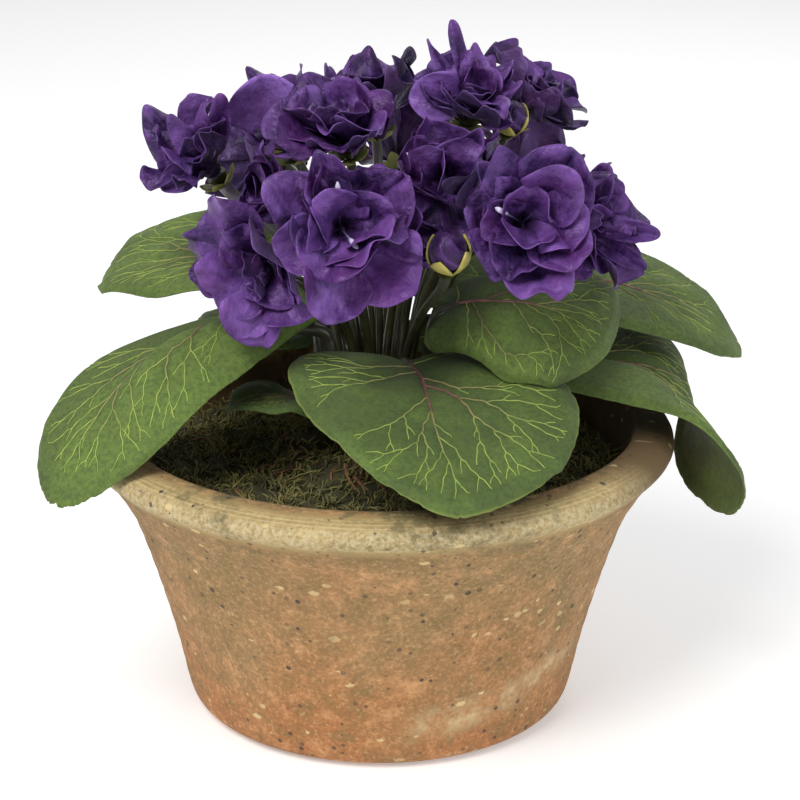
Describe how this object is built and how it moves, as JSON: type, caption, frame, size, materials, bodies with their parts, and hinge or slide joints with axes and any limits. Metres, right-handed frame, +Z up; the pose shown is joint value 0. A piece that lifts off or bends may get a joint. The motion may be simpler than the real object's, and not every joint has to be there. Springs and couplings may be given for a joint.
{
  "type": "houseplant",
  "caption": "Potted African violet with double purple blooms and broad veined leaves, planted in a wide flared terracotta bowl with a rolled rim.",
  "frame": {"origin": "centre of the pot's flat foot, on the surface it rests on", "axes": "+Z up along the pot's axis; the viewer of the picture stands at -Y; +X is the picture's right"},
  "size_m": [0.198, 0.1753, 0.2007],
  "materials": {
    "terracotta": "unglazed, matte, weathered with pale patina and dark specks",
    "growing_medium": "matte, crumbly",
    "moss": "matte, fibrous",
    "leaf": "matte weave with raised pale veins",
    "petal": "satin, ruffled",
    "bud": "satin, folded shut",
    "stalk": "semi-gloss"
  },
  "bodies": {
    "root": {"pot": "terracotta", "growing_medium": "growing_medium", "moss": "moss", "bloom_back": "petal", "bloom_back_left": "petal", "bloom_back_left_stalk": "stalk", "bloom_back_low": "petal", "bloom_back_low_stalk": "stalk", "bloom_back_right": "petal", "bloom_back_right_stalk": "stalk", "bloom_back_stalk": "stalk", "bloom_centre": "petal", "bloom_centre_stalk": "stalk", "bloom_far_left": "petal", "bloom_far_left_stalk": "stalk", "bloom_far_right": "petal", "bloom_far_right_stalk": "stalk", "bloom_front": "petal", "bloom_front_low": "petal", "bloom_front_low_stalk": "stalk", "bloom_front_stalk": "stalk", "bloom_left": "petal", "bloom_left_low": "petal", "bloom_left_low_stalk": "stalk", "bloom_left_stalk": "stalk", "bloom_middle": "petal", "bloom_middle_stalk": "stalk", "bloom_right": "petal", "bloom_right_stalk": "stalk", "bloom_top": "petal", "bloom_top_left": "petal", "bloom_top_left_stalk": "stalk", "bloom_top_right": "petal", "bloom_top_right_stalk": "stalk", "bloom_top_stalk": "stalk", "bud_front": "bud", "bud_front_stalk": "stalk", "bud_top": "bud", "bud_top_stalk": "stalk", "leaf_back": "leaf", "leaf_back_left": "leaf", "leaf_back_right": "leaf", "leaf_front": "leaf", "leaf_left_back": "leaf", "leaf_left_front": "leaf", "leaf_left_low": "leaf", "leaf_right_back": "leaf", "leaf_right_front": "leaf", "leaf_right_low": "leaf"}
  },
  "joints": []
}
